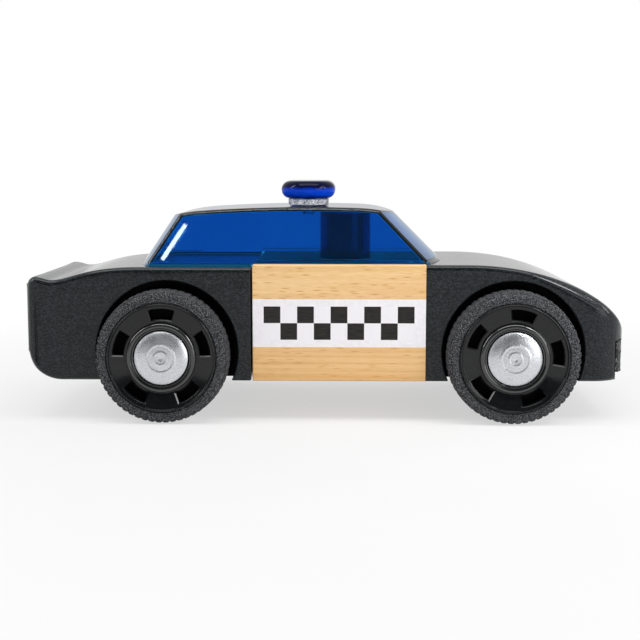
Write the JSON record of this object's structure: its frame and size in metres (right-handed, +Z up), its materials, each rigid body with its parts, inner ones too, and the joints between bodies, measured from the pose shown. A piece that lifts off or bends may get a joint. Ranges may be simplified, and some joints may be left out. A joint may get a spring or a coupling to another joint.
{
  "type": "toy police car",
  "caption": "Palm-size wooden push car with a lift-off translucent blue canopy, a roof light bar, free-rolling rubber-tyred wheels and a body that pulls apart in the middle.",
  "frame": {"origin": "on the ground under the middle of the car's outer box", "axes": "+X towards the nose, +Y to the car's left, +Z up"},
  "size_m": [0.1188, 0.0526, 0.0472],
  "materials": {
    "beech": "bare sanded beech with a printed white band, satin black paint on the nose",
    "black_wood": "satin black paint over beech",
    "grille_plastic": "matt black with a coarse stipple",
    "blue_plastic": "polished translucent blue",
    "deep_blue_plastic": "polished deep blue",
    "clear_plastic": "polished clear",
    "grey_plastic": "moulded dark grey",
    "steel": "drawn bright steel",
    "hub_plastic": "gloss black",
    "tyre_rubber": "matt black rubber with a fine grain",
    "cap_silver": "silver metallic paint"
  },
  "bodies": {
    "front_half": {"front_body": "beech", "front_grille": "grille_plastic", "coupling_socket": "grey_plastic", "socket_screws": "steel", "front_axle": "steel", "front_washers": "hub_plastic", "front_retainers": "steel"},
    "rear_half": {"rear_body": "black_wood", "coupling_plug": "grey_plastic", "plug_screws": "steel", "rear_axle": "steel", "rear_washers": "hub_plastic", "rear_retainers": "steel"},
    "canopy_set": {"canopy": "blue_plastic", "lightbar_base": "clear_plastic", "lightbar_lens": "deep_blue_plastic"},
    "wheel_front_right": {"hub_front_right": "hub_plastic", "tyre_front_right": "tyre_rubber", "cap_front_right": "cap_silver"},
    "wheel_front_left": {"hub_front_left": "hub_plastic", "tyre_front_left": "tyre_rubber", "cap_front_left": "cap_silver"},
    "wheel_rear_right": {"hub_rear_right": "hub_plastic", "tyre_rear_right": "tyre_rubber", "cap_rear_right": "cap_silver"},
    "wheel_rear_left": {"hub_rear_left": "hub_plastic", "tyre_rear_left": "tyre_rubber", "cap_rear_left": "cap_silver"}
  },
  "joints": [
    {"name": "rear_half_pull", "type": "slide", "parent": "front_half", "child": "rear_half", "axis": [-1, 0, 0], "range_m": [0, 0.014]},
    {"name": "canopy_lift", "type": "slide", "parent": "front_half", "child": "canopy_set", "axis": [0, 0, 1], "range_m": [0, 0.02]},
    {"name": "wheel_front_right_spin", "type": "hinge", "parent": "front_half", "child": "wheel_front_right", "pos_m": [0.03685, -0.021, 0.01315], "axis": [0, 1, 0], "continuous": true},
    {"name": "wheel_front_left_spin", "type": "hinge", "parent": "front_half", "child": "wheel_front_left", "pos_m": [0.03685, 0.021, 0.01315], "axis": [0, 1, 0], "continuous": true},
    {"name": "wheel_rear_right_spin", "type": "hinge", "parent": "rear_half", "child": "wheel_rear_right", "pos_m": [-0.03195, -0.021, 0.01315], "axis": [0, 1, 0], "continuous": true},
    {"name": "wheel_rear_left_spin", "type": "hinge", "parent": "rear_half", "child": "wheel_rear_left", "pos_m": [-0.03195, 0.021, 0.01315], "axis": [0, 1, 0], "continuous": true}
  ]
}
